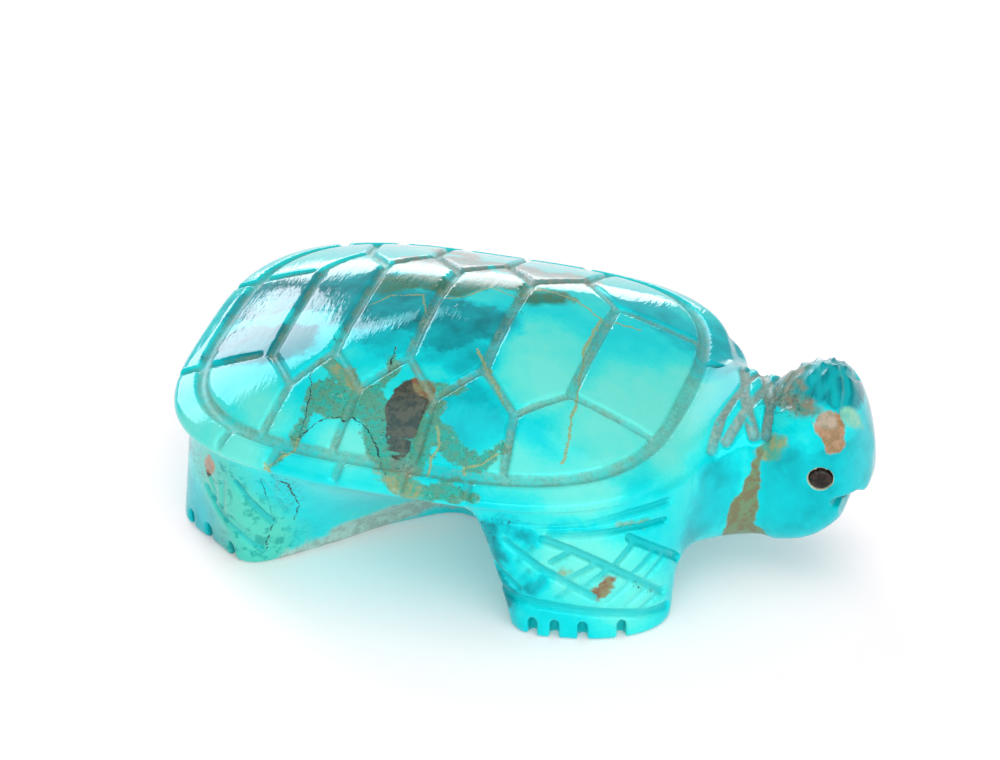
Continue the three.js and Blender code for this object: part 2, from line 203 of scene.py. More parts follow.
def shell_field(x, y, z):
    share = np.maximum(shell_share(x, y), 1e-4)
    capped = np.minimum(share, DOME_END)
    slope = DOME_RISE * DOME_POWER * capped ** (DOME_POWER - 1) / HALF_WIDTH
    top = (z - RIM_HEIGHT - DOME_RISE * (1 - capped ** DOME_POWER)) / np.sqrt(1 + slope ** 2)
    side = (share - 1) * np.hypot(x, y) / share
    undercut = RIM_UNDERCUT * (1 - np.clip((share - UNDERCUT_START) / UNDERCUT_SPAN, 0, 1))
    low = RIM_HEIGHT - RIM_WALL - undercut
    rim = smooth_max(top, side, RIM_ROUNDING)
    return smooth_max(rim, low - z, RIM_FOOT_ROUNDING)


def spline(points, stations):
    """Points on a smooth curve through a list of points. Stations count along the list."""
    count = len(points)
    i = np.clip(np.floor(stations).astype(int), 0, count - 2)
    t = (stations - i)[:, None]
    p0, p1, p2, p3 = (points[np.clip(i + k, 0, count - 1)] for k in (-1, 0, 1, 2))
    v0, v1 = (p2 - p0) / 2, (p3 - p1) / 2
    return (2 * p1 - 2 * p2 + v0 + v1) * t ** 3 + (-3 * p1 + 3 * p2 - 2 * v0 - v1) * t ** 2 + v0 * t + p1


def flank_points(stations, heights):
    """Plan points of the flank on the left side, at stations and heights over the ground."""
    low = spline(FLANK[:, 0:2], stations)
    high = spline(FLANK[:, 2:4], stations)
    hollow = np.interp(stations, np.arange(len(FLANK)), FLANK[:, 4])
    share = np.clip(np.asarray(heights) / BASE_HEIGHT, 0, 1) ** hollow
    plan = low + (high - low) * share[:, None]
    plan[:, 1] = np.maximum(plan[:, 1], 0)
    return plan


def outline_distance(x, y, outline):
    """Signed distance in plan to an outline that is closed by its mirror image across Y = 0."""
    best = np.full(x.shape, 1e9, np.float32)
    inside = np.zeros(x.shape, bool)
    for (ax, ay), (bx, by) in zip(outline[:-1], outline[1:]):
        ex, ey = bx - ax, by - ay
        px, py = x - ax, y - ay
        t = np.clip((px * ex + py * ey) / (ex * ex + ey * ey + 1e-9), 0, 1)
        best = np.minimum(best, (px - t * ex) ** 2 + (py - t * ey) ** 2)
        crosses = (ax <= x) != (bx <= x)
        if crosses.any():
            inside ^= crosses & (y < ay + (x - ax) / (ex if ex else 1e-9) * ey)
    distance = np.sqrt(best)
    return np.where(inside, -distance, distance)


def base_field(grid):
    """The flanks and feet, level by level: the left half of the plan and its mirror image."""
    xs, ys, zs = grid
    middle = len(ys) // 2
    mirrored = np.abs(np.arange(len(ys)) - middle)
    x, y = np.meshgrid(xs, ys[middle:], indexing="ij")
    stations = np.linspace(0, len(FLANK) - 1, BASE_OUTLINE_POINTS)
    far = 5
    field = np.full((len(xs), len(ys), len(zs)), far, np.float32)
    levels = np.clip(zs[zs <= BASE_HEIGHT + 1], 0, BASE_HEIGHT)
    for level in np.unique(levels):
        outline = flank_points(stations, np.full(len(stations), float(level))).astype(np.float32)
        sheet = outline_distance(x, y, outline)[:, mirrored]
        field[:, :, np.flatnonzero(levels == level)] = sheet[:, :, None]
    field = smooth_max(field, -zs, FLOOR_EDGE)
    return np.maximum(field, zs - BASE_HEIGHT)


def smooth_table(sections, at, blur):
    """Section sizes at distances along X, with the table's corners rounded off."""
    past_ends = 2
    dense = np.arange(sections[0, 0] - past_ends, sections[-1, 0] + past_ends, TABLE_STEP)
    reach = int(3 * blur / TABLE_STEP)
    kernel = np.exp(-0.5 * (np.arange(-reach, reach + 1) * TABLE_STEP / blur) ** 2)
    kernel /= kernel.sum()
    columns = []
    for column in (1, 2, 3):
        values = np.interp(dense, sections[:, 0], sections[:, column])
        padded = np.pad(values, reach, mode="edge")
        columns.append(np.interp(at, dense, np.convolve(padded, kernel, mode="valid")))
    return columns


def barrel_field(grid, sections, powers, blur):
    x, y, z = np.ix_(*grid)
    across, up, below, waist_share = powers
    low, high, half = (c[:, None, None] for c in smooth_table(sections, grid[0], blur))
    waist = low + (high - low) * waist_share
    above = z >= waist
    reach = np.where(above, high - waist, waist - low)
    p = np.where(above, across, below)
    q = np.where(above, up, below)
    size = ((np.abs(y) / half) ** p + (np.abs(z - waist) / reach) ** q) ** (2 / (p + q))
    scale = np.minimum(half, (high - low) / 2)
    ends = np.maximum(x - sections[-1, 0], sections[0, 0] - x)
    return smooth_max((size - 1) * scale, ends + 0 * size, BARREL_END_ROUNDING)


def section_point(sections, powers, at, angle):
    """A point on a barrel: angle 0 is the right flank, a quarter turn the top."""
    across, up, below, waist_share = powers
    low, high, half = (float(c[0]) for c in smooth_table(sections, np.array([at]), CUT_BLUR))
    waist = low + (high - low) * waist_share
    c, s = math.cos(angle), math.sin(angle)
    above = s >= 0
    y = -half * math.copysign(abs(c) ** (2 / (across if above else below)), c)
    reach = high - waist if above else waist - low
    z = waist + reach * math.copysign(abs(s) ** (2 / (up if above else below)), s)
    return (at, y, z)


# Paths of the cuts. A cut is its points on the surface, its width and its depth.

def run(corners, step=SHELL_STEP):
    """Points at even steps along the straight stretches between corners."""
    corners = np.array(corners, float)
    path = [corners[0]]
    for a, b in zip(corners[:-1], corners[1:]):
        count = max(1, round(float(np.linalg.norm(b - a)) / step))
        path += [a + (b - a) * k / count for k in range(1, count + 1)]
    return np.array(path)


def out_to(start, direction, share):
    """Where a line in plan meets a share of the shell's outline."""
    low, high = 0.0, PAST_SHELL
    for _ in range(HALVINGS):
        middle = (low + high) / 2
        x, y = start[0] + direction[0] * middle, start[1] + direction[1] * middle
        if shell_share(x, y) < share:
            low = middle
        else:
            high = middle
    return (start[0] + direction[0] * low, start[1] + direction[1] * low)


def in_plan(x, y):
    """A plan point from shares of the shell's half sizes."""
    return (x * HALF_LENGTH, y * HALF_WIDTH)


def on_dome(path):
    return np.column_stack([path, dome_height(path[:, 0], path[:, 1])])


def dome_cut(corners, wheel):
    return (on_dome(run(corners)), *wheel)


def ring_cut():
    turn = np.linspace(0, 2 * math.pi, RING_POINTS)
    c, s = np.cos(turn), np.sin(turn)
    x = HALF_LENGTH * RING_SHARE * np.sign(c) * np.abs(c) ** (2 / PLAN_POWER)
    y = HALF_WIDTH * RING_SHARE * np.sign(s) * np.abs(s) ** (2 / PLAN_POWER)
    return (on_dome(np.column_stack([x, y])), *RING_WHEEL)


def plate_cuts(side):
    """The zigzag between the plates, the spokes from it to the ring, and the cuts at both ends."""
    cuts = []
    peaks = [in_plan(x, side * CROSS_CUT_REACH) for x in CROSS_CUTS]
    valleys = [in_plan(x, side * PLATE_CORNER_REACH) for x in PLATE_CORNERS]
    for i, valley in enumerate(valleys):
        lean = PLATE_CORNERS[i] / PLATE_CORNERS[-1] * SPOKE_LEAN
        cuts.append(dome_cut([peaks[i], valley], PLATE_WHEEL))
        cuts.append(dome_cut([valley, peaks[i + 1]], PLATE_WHEEL))
        cuts.append(dome_cut([valley, out_to(valley, (lean, side), RING_SHARE)], SPOKE_WHEEL))
    rear = out_to(peaks[0], (-1, side * REAR_CUT_LEAN), 1.0)
    cuts.append(dome_cut([(peaks[0][0] - REAR_CUT_GAP, peaks[0][1]), rear], END_WHEEL))
    front = out_to(peaks[-1], (1, side * FRONT_CUT_LEAN), RING_SHARE)
    cuts.append(dome_cut([peaks[-1], front], END_WHEEL))
    return cuts


def band_cuts(side):
    """Short cuts over the band outside the ring. The real rim has none at the right front."""
    cuts = []
    for x, y in BAND_CUTS:
        at_front = x > FRONT_BAND
        if at_front and side == RIGHT:
            continue
        start = in_plan(x * BAND_CUT_START, side * y * BAND_CUT_START)
        direction = (1, 0) if at_front else (x * BAND_CUT_LEAN, side)
        inner = out_to(start, direction, RING_SHARE)
        outer = out_to(inner, direction, BAND_CUT_END)
        points = on_dome(run([inner, outer], BAND_STEP))
        points[:, 2] = np.maximum(points[:, 2], RIM_HEIGHT)
        drop = points[-1].copy()
        drop[2] -= BAND_CUT_DROP
        cuts.append((np.vstack([points, drop]), *BAND_WHEEL))
    return cuts


def shell_cuts():
    cuts = [ring_cut()]
    for x in CROSS_CUTS:
        cuts.append(dome_cut([in_plan(x, -CROSS_CUT_REACH), in_plan(x, CROSS_CUT_REACH)], CROSS_WHEEL))
    for side in (RIGHT, LEFT):
        cuts += plate_cuts(side) + band_cuts(side)
    return cuts


# Cuts on the legs, as stations along the flank's table and heights
LONG_LEG_CUTS = (
    ((9.64, 5.83), (9.93, 5.38), (10.39, 4.55), (10.86, 3.6), (11.21, 3), (11.7, 1.95)),
    ((9.2, 5.5), (9.35, 4.94), (9.57, 4.21), (9.93, 3.3), (10.32, 2.57)),
    ((10.87, 5.72), (11.5, 4.56), (12.3, 3.1)),
    ((8.9, 3.8), (9.27, 2.77)),
    ((3.04, 3.9), (3.32, 2.9), (3.8, 2.2), (4.2, 1.05)),
    ((4, 5.6), (4.2, 4.3), (4.42, 2.8)),
)
TOE_BANDS = (
    ((8.7, 2.4), (9.39, 2.08), (10.09, 1.8), (10.81, 1.5), (11.35, 1.2), (11.9, 0.95)),
)
SHORT_LEG_CUTS = (
    ((9.71, 4.55), (9.96, 5.22)), ((9.9, 3.6), (10.35, 4.5)), ((10.14, 3.1), (10.57, 4.18)),
    ((10.66, 4.45), (10.95, 5.4)), ((10.97, 3.7), (11.37, 4.5)), ((11.25, 3.2), (11.65, 4)),
    ((10.5, 2.2), (10.9, 3.2)), ((10.81, 1.9), (11.29, 2.7)), ((11.16, 1.6), (11.73, 2.2)),
    ((9.3, 4.3), (9.51, 5.3)), ((9.44, 2.3), (9.62, 3.7)), ((9.2, 2.9), (9.44, 3.9)),
    ((9.75, 2.4), (10, 3.2)), ((3.68, 5.25), (3.51, 3.3)), ((4.41, 6.2), (4.5, 5.2)),
    ((4.55, 4.65), (4.61, 3.36)), ((3.73, 3), (4.2, 1.6)), ((3.2, 5.2), (3.35, 4.2), (3.25, 3.3)),
)
RIM_LINES = (
    ((9.17, 6.72), (9.61, 6.6), (10.07, 6.77), (10.87, 7.04), (11.68, 7.04)),
    ((9.7, 6.1), (10.3, 6.2), (10.9, 6.25), (11.6, 6.1)),
    ((4.6, 6.87), (4.52, 4.65), (4.45, 2.87), (4.27, 0.7)),
)
LEG_WHEELS = (
    (LONG_LEG_CUTS, 0.48, 0.22),
    (TOE_BANDS, 0.62, 0.22),
    (SHORT_LEG_CUTS, 0.34, 0.14),
    (RIM_LINES, 0.36, 0.1),
)

# Slots between the toes, each cut in passes that go deeper
TOE_STATIONS = (9.4, 9.72, 10.15, 10.78, 2.35, 2.85, 3.55)
TOE_LEVEL = 0.4
TOE_WIDTH = 0.5
TOE_HEIGHT = 1.1
TOE_BELOW_FLOOR = 0.6
TOE_PASSES = (0, 0.22, 0.44)


def toe_slots(station):
    near = 0.1
    behind, (x, y), ahead = flank_points([station - near, station, station + near], [TOE_LEVEL] * 3)
    along = (ahead - behind) / np.linalg.norm(ahead - behind)
    levels = (-TOE_BELOW_FLOOR, 0, TOE_HEIGHT - TOE_WIDTH / 2)
    slots = []
    for depth in TOE_PASSES:
        deeper_x, deeper_y = x + along[1] * depth, y - along[0] * depth
        for side in (RIGHT, LEFT):
            slot = np.array([(deeper_x, side * deeper_y, z) for z in levels])
            slots.append((slot, TOE_WIDTH, TOE_WIDTH / 2))
    return slots


def leg_cuts():
    cuts = []
    for group, width, depth in LEG_WHEELS:
        for corners in group:
            path = run(corners, LEG_STEP)
            plan = flank_points(path[:, 0], path[:, 1])
            for side in (RIGHT, LEFT):
                points = np.column_stack([plan[:, 0], side * plan[:, 1], path[:, 1]])
                cuts.append((points, width, depth))
    for station in TOE_STATIONS:
        cuts += toe_slots(station)
    return cuts


def cross_cuts(sections, powers, start, end, count, reach, wheel):
    """Slanting cuts over a neck or head, both ways, so that they cross on top."""
    cuts = []
    slant = (end - start) / count
    for i in range(count):
        middle = start + (end - start) * (i + 0.5) / count
        for way in (-1, 1):
            path = []
            for k in range(-CROSS_CUT_STEPS, CROSS_CUT_STEPS + 1):
                share = k / CROSS_CUT_STEPS
                at = min(max(middle + way * slant * share, start), end)
                path.append(section_point(sections, powers, at, math.pi / 2 + share * reach))
            cuts.append((np.array(path), *wheel))
    return cuts


# Fields on the grid

CUBE = [(a, b, c) for a in (0, 1) for b in (0, 1) for c in (0, 1)]
CUBE_EDGES = [(p, q) for p, q in itertools.combinations(CUBE, 2) if math.dist(p, q) == 1]


def sample(field, grid, points):
    """Field values at points between the grid's nodes."""
    spots = (points - np.array([axis[0] for axis in grid])) / CELL
    nodes = np.clip(spots.astype(int), 0, np.array(field.shape) - 2)
    shares = np.clip(spots - nodes, 0, 1)
    total = 0
    for corner in CUBE:
        value = field[tuple((nodes + corner).T)]
        for axis, ahead in enumerate(corner):
            value = value * (shares[:, axis] if ahead else 1 - shares[:, axis])
        total = total + value
    return total


def outward(field, grid, points):
    """Unit directions in which the field rises fastest."""
    slopes = []
    for step in np.eye(3) * SLOPE_REACH:
        slopes.append(sample(field, grid, points + step) - sample(field, grid, points - step))
    slopes = np.stack(slopes, axis=1)
    return slopes / np.maximum(np.linalg.norm(slopes, axis=1, keepdims=True), 1e-9)


def wheel_path(points, normals, lift, rng):
    """Centres of the wheel along a cut, as unsteady as a hand."""
    wobble = rng.normal(0, WHEEL_WOBBLE, len(points))
    if len(points) >= EVENED_POINTS:
        padded = np.pad(wobble, EVENED_POINTS // 2, mode="edge")
        wobble = np.convolve(padded, np.ones(EVENED_POINTS) / EVENED_POINTS, mode="valid")
    return points + normals * (lift + wobble)[:, None]


def sweep(field, grid, start, end, radius):
    """Lowers the field to its distance from one stretch of a wheel's path."""
    reach = radius + 3 * CELL + SWEEP_MARGIN
    lows, highs = np.minimum(start, end) - reach, np.maximum(start, end) + reach
    spans = [slice(*np.searchsorted(axis, ends)) for axis, ends in zip(grid, zip(lows, highs))]
    if any(span.start >= span.stop for span in spans):
        return
    places = np.ix_(*(axis[span] - s for axis, span, s in zip(grid, spans, start)))
    along = end - start
    share = sum(p * a for p, a in zip(places, along)) / max(float(along @ along), 1e-9)
    share = np.clip(share, 0, 1)
    off = sum((p - share * a) ** 2 for p, a in zip(places, along))
    block = field[tuple(spans)]
    np.minimum(block, np.sqrt(off) - radius, out=block)


def cut_field(stone, grid, cuts):
    """Distance to the nearest cut's floor. A cut is the trace of a round-edged wheel."""
    far = 3
    field = np.full(stone.shape, far, np.float32)
    rng = np.random.default_rng(WOBBLE_SEED)
    for points, width, depth in cuts:
        radius = width / 2
        centres = wheel_path(points, outward(stone, grid, points), radius - depth, rng)
        for start, end in zip(centres[:-1], centres[1:]):
            sweep(field, grid, start, end, radius)
    return field


def net_points(field, cells):
    """The middle of the crossings on each cell's edges, as shares of a cell."""
    total = np.zeros((len(cells), 3))
    hits = np.zeros(len(cells))
    for first, second in CUBE_EDGES:
        before = field[tuple((cells + first).T)]
        after = field[tuple((cells + second).T)]
        crossed = (before < 0) != (after < 0)
        share = np.where(crossed, before / np.where(crossed, before - after, 1), 0)[:, None]
        point = np.array(first) + share * (np.array(second) - np.array(first))
        total += np.where(crossed[:, None], point, 0)
        hits += crossed
    return total / hits[:, None]


def net_quads(inside, number):
    """A quad of four cells' points round each grid edge that goes in or out of the stone."""
    quads = []
    for axis in range(3):
        others = [other for other in range(3) if other != axis]
        edges = np.argwhere(np.diff(inside, axis=axis))
        edges = edges[(edges[:, others] > 0).all(axis=1)]
        ring = []
        for back in ((1, 1), (0, 1), (0, 0), (1, 0)):
            cell = edges.copy()
            cell[:, others] -= back
            ring.append(number[tuple(cell.T)])
        ring = np.stack(ring, axis=1)
        leaving = inside[tuple(edges.T)]
        turned = leaving if axis == 1 else ~leaving
        ring[turned] = ring[turned][:, ::-1]
        quads.append(ring)
    return np.concatenate(quads)


def surface_nets(field, grid):
    """Closed quads round the field's zero level, one point in each cell that it crosses."""
    inside = field < 0
    nx, ny, nz = field.shape
    corners = [inside[a:nx - 1 + a, b:ny - 1 + b, c:nz - 1 + c].astype(np.int8) for a, b, c in CUBE]
    count = sum(corners)
    active = (count > 0) & (count < len(CUBE))
    cells = np.argwhere(active)
    number = np.full(active.shape, -1, np.int64)
    number[tuple(cells.T)] = np.arange(len(cells))
    origin = np.array([axis[0] for axis in grid])
    points = origin + (cells + net_points(field, cells)) * CELL
    return points, net_quads(inside, number)


def stone_grid():
    """Places of the grid's nodes along each axis. None lies in the floor's own plane."""
    margin = 4 * CELL
    xs = np.arange(-HALF_LENGTH - margin, HEAD_FRONT + margin, CELL)
    half_count = int(math.ceil((HALF_WIDTH + margin) / CELL))
    ys = np.arange(-half_count, half_count + 1) * CELL
    zs = np.arange(-CELLS_BELOW_FLOOR, CROWN_HEIGHT / CELL + 3) * CELL
    return xs.astype(np.float32), ys.astype(np.float32), zs.astype(np.float32)


def uncut_stone(grid):
    shell = shell_field(*np.ix_(*grid))
    neck = barrel_field(grid, NECK, NECK_POWERS, NECK_BLUR)
    head = barrel_field(grid, HEAD, HEAD_POWERS, HEAD_BLUR)
    body = smooth_min(base_field(grid), neck, FLANK_TO_NECK)
    body = smooth_min(body, shell, BODY_TO_SHELL)
    return smooth_min(body, head, BODY_TO_HEAD)


def mouth_field(x, y, z):
    """A rounded bite that rises to the cheeks, and the space ahead of the set-back lower jaw."""
    over = z - MOUTH["height"] - MOUTH["rise"] * np.minimum((y / MOUTH["spread"]) ** 2, 1)
    half_open = MOUTH["opening"] / 2
    bite = np.hypot(np.minimum(x - MOUTH["back"] - half_open, 0), over) - half_open
    under_jaw = np.maximum(MOUTH["jaw"] - x, over)
    return np.minimum(bite, under_jaw)


def socket_field(x, y, z, side):
    sine, cosine = math.sin(EYE["turn"]), side * math.cos(EYE["turn"])
    dx, dy, dz = x - EYE["along"], y - side * EYE["across"], z - EYE["height"]
    deep = dx * sine + dy * cosine
    off = np.hypot(dx * cosine - dy * sine, dz)
    return np.maximum(off - EYE["radius"], -EYE["depth"] - deep)


def carved_stone():
    """The carved stone's points and quads, and the uncut stone's field and grid."""
    grid = stone_grid()
    uncut = uncut_stone(grid)
    cuts = shell_cuts() + leg_cuts()
    cuts += cross_cuts(HEAD, HEAD_POWERS, **CROWN_CUTS)
    cuts += cross_cuts(NECK, NECK_POWERS, **NECK_CUTS)
    carved = smooth_max(uncut, -cut_field(uncut, grid, cuts), GROOVE_EDGE)
    x, y, z = np.ix_(*grid)
    carved = smooth_max(carved, -mouth_field(x, y, z), MOUTH["edge"])
    for side in (RIGHT, LEFT):
        carved = np.maximum(carved, -socket_field(x, y, z, side))
    points, quads = surface_nets(carved, grid)
    return points, quads, uncut, grid


# Areas of colour or polish, in brush strokes: radius and places. A place is X and Y on the dome,
# or X, Y and height.
AREAS = {
    "deep": (
        (2.3, (-11.4, 2), (-8.2, 2), (-5.6, 1.6)), (1.9, (-11, -3), (-8.2, -3.6)),
        (2.1, (-4.6, -0.8), (-1.6, -0.6), (0.2, -2)), (1.8, (0.4, -1.6), (2, -0.9)),
        (2.2, (18.8, 0, 11.4), (20.4, 0, 11.4)),
        (0.7, (5, -11.2, 6.2), (5.2, -11.2, 4), (6, -10.9, 1.8)),
        (0.5, (6.6, -11.1, 6), (7.3, -11, 5.8)), (0.45, (7.4, -11.1, 2.9), (8, -11.1, 3.4)),
        (0.3, (8.6, -10.8, 6.4), (10.4, -10.4, 6.6)), (0.7, (-12.8, -6.6, 6.6), (-12.9, -6.2, 5)),
    ),
    "middle": (
        (1.7, (-13.2, -5.2, 2.6), (-12, -7.2, 1.6), (-10.6, -8, 0.4)),
        (1.3, (-3.6, -2.6), (-2, -3.6)), (1.6, (0.4, -3.2), (1.8, -3.8)),
        (1.7, (2.4, -6.8), (3.8, -8)), (1.5, (8, 6.4), (10.2, 5.4), (11.4, 5)),
        (1.4, (13, 7), (13.6, 2.6)), (4.4, (19.4, 0, 5.7), (20.7, 0, 5.5)),
        (1.6, (15.2, -5.6, 4.4), (15.4, -4.4, 6.4)),
    ),
    "light": (
        (2.2, (5.2, -1.2), (6, -4.2)), (2.4, (10.4, -2), (9.6, -7)), (1.5, (12.6, 1), (12.8, -5.4)),
        (1.5, (5.4, -9.6), (10, -9.9)), (1.2, (-8.6, -7.6), (-7, -9.2)),
        (1.1, (-3.4, -10), (-2.2, -10.4)), (2.2, (9.6, -10.8, 4.6), (12.2, -9.8, 2.4)),
        (1.6, (-8.4, -11), (-11, -9.2)), (1.2, (-8.6, -8.8, 4.2), (-7.8, -8.6, 2.2)),
    ),
    "matrix": (
        (0.5, (-5.2, -5.4), (-4, -6.5), (-3, -7.2)), (0.95, (-4.9, -7.5), (-4, -8), (-2.6, -7.9)),
        (0.3, (-5.3, -8.6), (-5.3, -9.8), (-6, -11.3)),
        (0.85, (-2.4, -7.4), (-1.7, -8.2), (-1.3, -9.3)), (0.38, (-1.6, -9.6), (-0.8, -10.4)),
        (1.3, (0.2, -8.6), (0.2, -10.4)), (0.3, (-1.9, -6.6), (-1.7, -5.6), (-1.9, -4.6)),
        (0.45, (1, -6.3), (1.9, -6.1)), (0.55, (1, -7.4), (1.4, -8.6), (1.3, -10.6)),
        (0.6, (2, -8.7), (2.9, -9.7), (4.2, -10.1)), (0.35, (4.4, -9.9), (5, -9)),
        (0.35, (1.9, -10.9), (4.2, -10.8)), (0.5, (-0.2, -11.6), (2.2, -11.9), (4.2, -11.7)),
        (0.22, (1.4, 0.2), (2.1, 0.3), (2.8, 0.7)), (0.3, (2.8, 3), (3.8, 3.7), (5.4, 3.6)),
    ),
    "moss": (
        (1.1, (-4.2, 1.8), (-3.2, 2.2), (-1.9, 2.3)),
        (0.8, (-0.5, 1.5), (0, 2.5), (0.8, 3.5), (2, 3.6)), (0.7, (3.5, 2.3), (4.6, 3.4)),
    ),
    # Grey on the far plates: the stone's own grey tone, with a painted reflection of the pale backdrop
    "grey_and_sheen": (
        (1.2, (-3.6, 5.6), (-1.6, 6.6), (-0.6, 5.4)), (1.3, (1.4, 6.6), (3.4, 5.6), (4.6, 6.8)),
        (0.7, (-3.4, 8.8), (-1.6, 8.2)),
    ),
    "umber": (
        (1.05, (-0.2, -6.9), (-0.3, -7.9)), (0.85, (-0.15, -8.3), (-0.1, -9.2)),
        (0.62, (-0.1, -9.4), (0, -10)), (0.2, (-10.75, -8.5, 5.1), (-10.8, -8.4, 5)),
        (0.12, (-10.4, -8.6, 4.3), (-10.4, -8.6, 4.2)),
    ),
    "beige": (
        (0.45, (-0.1, -10.7), (0.7, -10.9)), (0.55, (17.2, -0.9, 10.2), (18, -1.2, 10.8)),
        (0.55, (18.3, -1.9, 10.6), (19.4, -2.2, 10.5)), (0.3, (18.4, -0.6, 11.3), (19, -1.4, 11.3)),
        (0.4, (19.4, -2.2, 10.5), (20.2, -2.4, 10.3)), (0.4, (18, -0.4, 10.9), (18.8, 0, 11.7)),
    ),
    "rust": (
        (0.38, (-0.1, -6), (0.5, -6.6)), (0.42, (10.9, -10.6, 2.8), (11.3, -10.4, 3.4)),
    ),
    "pink": (
        (0.66, (20.6, -2.5, 10), (21.1, -2.5, 9.6)), (0.5, (21, -2.6, 9.3), (21.2, -2.7, 8.9)),
        (0.38, (-10.4, -9.2, 6.2), (-10.6, -8.6, 5.5)),
    ),
    "mint": (
        (0.5, (21.5, -1.6, 10), (22, -1.2, 9.6)), (0.3, (22, -1.2, 9.6), (22.4, -0.7, 9)),
    ),
    "olive": (
        (0.42, (17.5, -2.8, 7.8), (17.9, -2.9, 8.5)), (0.6, (-0.2, -11.5), (1.3, -11.8)),
        (0.35, (-4.7, -5.7), (-3.2, -6.9)), (0.25, (18.1, -2.95, 8.2), (18.4, -3, 8.8)),
        (0.2, (11.8, -9.6, 6.5), (12.9, -8.7, 6.4)), (0.16, (9, -11, 4), (9.6, -11, 4)),
    ),
    "tan": (
        (0.16, (17.4, -2.6, 9.4), (17.3, -2.8, 8.4), (17.2, -2.9, 7.4)),
        (0.3, (17.1, -3, 7.2), (17, -3.1, 6.2)), (0.5, (16.9, -3.1, 6.2), (16.7, -3.2, 5.2)),
        (0.8, (16.6, -3.3, 4.8), (16.3, -3.3, 3)), (0.6, (16.8, -2.6, 2.8), (17.3, -2, 2.2)),
    ),
    "green": (
        (2.3, (-9.6, -9, 5), (-8.2, -8.8, 1.2)),
    ),
    "flecks": (
        (0.4, (4.9, -11.2, 6.4), (5, -11.2, 4.4), (5.4, -11, 3)),
        (0.25, (5.2, -11.4, 6.9), (8.4, -11.2, 6.8)), (0.3, (12.6, -9.6, 3.2), (13.2, -9, 2.4)),
        (0.7, (-6.2, -10.2, 6.2), (-5.9, -9.6, 4.4)), (0.8, (-12.4, -7.4, 6.4), (-11.8, -8, 5)),
        (0.8, (17.2, -1.4, 10.2), (18.6, -2, 10.6)), (0.5, (-0.6, -9.4), (0.4, -10.6)),
        (0.3, (-1.1, -8.6), (-0.8, -9.2)), (0.32, (3, 2.4), (3, -2)),
        (0.28, (-1.2, 3), (-1.2, -2.4)), (0.28, (-5.3, -2.2), (-5.3, -3.9)),
    ),
    "matt": (
        (1.5, (13.5, -2.6, 9), (14.4, -1.6, 9.4), (14.4, 1.6, 9.4), (13.5, 2.6, 9)),
    ),
    "host": (
        (0.5, (-6.8, -7.8, 0.1), (-5.2, -6.4, 0.4)),
        (1, (-4.6, -5.8, 0.5), (-3.2, -4.4, 0.8), (-1.8, -3.4, 1), (0.4, -2.8, 1)),
    ),
}

# Thin lines: width and places in plan (X, Y) or on the right flank (X, height)
CRACKS_ON_TOP = (
    (0.02, (-5.9, -6), (-5.5, -7.6), (-5.3, -9.1), (-5.3, -10.2)),
    (0.02, (-5.3, -10.2), (-4.7, -9.3), (-4.1, -8.9), (-3.1, -8.6)),
    (0.02, (-3.1, -8.6), (-1.9, -9.2), (-1, -10.2), (-0.3, -11.4)),
    (0.03, (-2, -4), (-1.9, -5.5)),
)
CRACKS_ON_FLANK = (
    (0.05, (-6.3, 6.3), (-6, 6.1), (-5.9, 5)),
    (0.02, (-5.9, 5), (-5.85, 4.1), (-6.2, 2.8)),
    (0.01, (-7.4, 6.2), (-7.15, 3.2), (-7.7, 0.9)),
)
GOLD_ON_TOP = (
    (0.09, (2.2, -3.3), (3.2, -4.5), (3.9, -5.4), (4.5, -6.3)),
    (0.07, (7.2, 2.6), (7.2, -0.6), (7.8, -4), (8.2, -6.8), (8.4, -8.9)),
    (0.06, (-5.3, -10.2), (-5.6, -11), (-6.6, -11.6)),
    (0.06, (5.1, -9.3), (4.5, -10), (3.6, -10.4)),
    (0.07, (1.6, -8.4), (2, -9.4), (1.8, -10.8)),
    (0.06, (2.8, 3.1), (3.8, 3.8), (5.5, 3.7), (7.2, 2.7), (9.2, 3.3)),
    (0.04, (-4.7, -0.6), (-3.6, 0.5), (-1.9, 0.7), (-1.3, -0.9)),
    (0.04, (-0.7, 0.5), (0.2, 1), (1.2, 2.7), (2.6, 2.1)),
)


def place(point):
    """An area's place, lifted to the dome where no height is given."""
    if len(point) == 2:
        point = (*point, float(dome_height(np.float64(point[0]), np.float64(point[1]))))
    return np.array(point, float)


def inside_area(points, chains):
    """How far points lie inside the nearest of some round brush strokes."""
    far_outside = -9.0
    best = np.full(len(points), far_outside)
    for radius, *line in chains:
        line = [place(p) for p in line]
        for start, end in zip(line[:-1], line[1:]):
            along = end - start
            share = np.clip((points - start) @ along / (along @ along), 0, 1)[:, None]
            away = np.linalg.norm(points - start - share * along, axis=1)
            best = np.maximum(best, radius - away)
    return best


# Pieces

def give(mesh, name, values):
    mesh.attributes.new(name, "FLOAT", "POINT").data.foreach_set("value", values.astype(np.float32))


def linked(name, data):
    made = bpy.data.objects.new(name, data)
    bpy.context.collection.objects.link(made)
    return made


def link_mesh(name, mesh):
    made = linked(name, mesh)
    for polygon in mesh.polygons:
        polygon.use_smooth = True
    return made


def thinned(piece):
    count = sum(len(p.vertices) - 2 for p in piece.data.polygons)
    if count <= MOST_TRIANGLES:
        return piece.data
    thin = piece.modifiers.new("thin", "DECIMATE")
    thin.ratio = MOST_TRIANGLES / count
    graph = bpy.context.evaluated_depsgraph_get()
    mesh = bpy.data.meshes.new_from_object(piece.evaluated_get(graph))
    piece.modifiers.clear()
    return mesh


def vertex_places(mesh):
    """Places of the mesh's vertices, back in millimetres about the shell's middle."""
    flat = np.empty(3 * len(mesh.vertices), np.float32)
    mesh.vertices.foreach_get("co", flat)
    return flat.reshape(-1, 3) * TO_MILLIMETRES - (TO_MIDDLE, 0, 0)


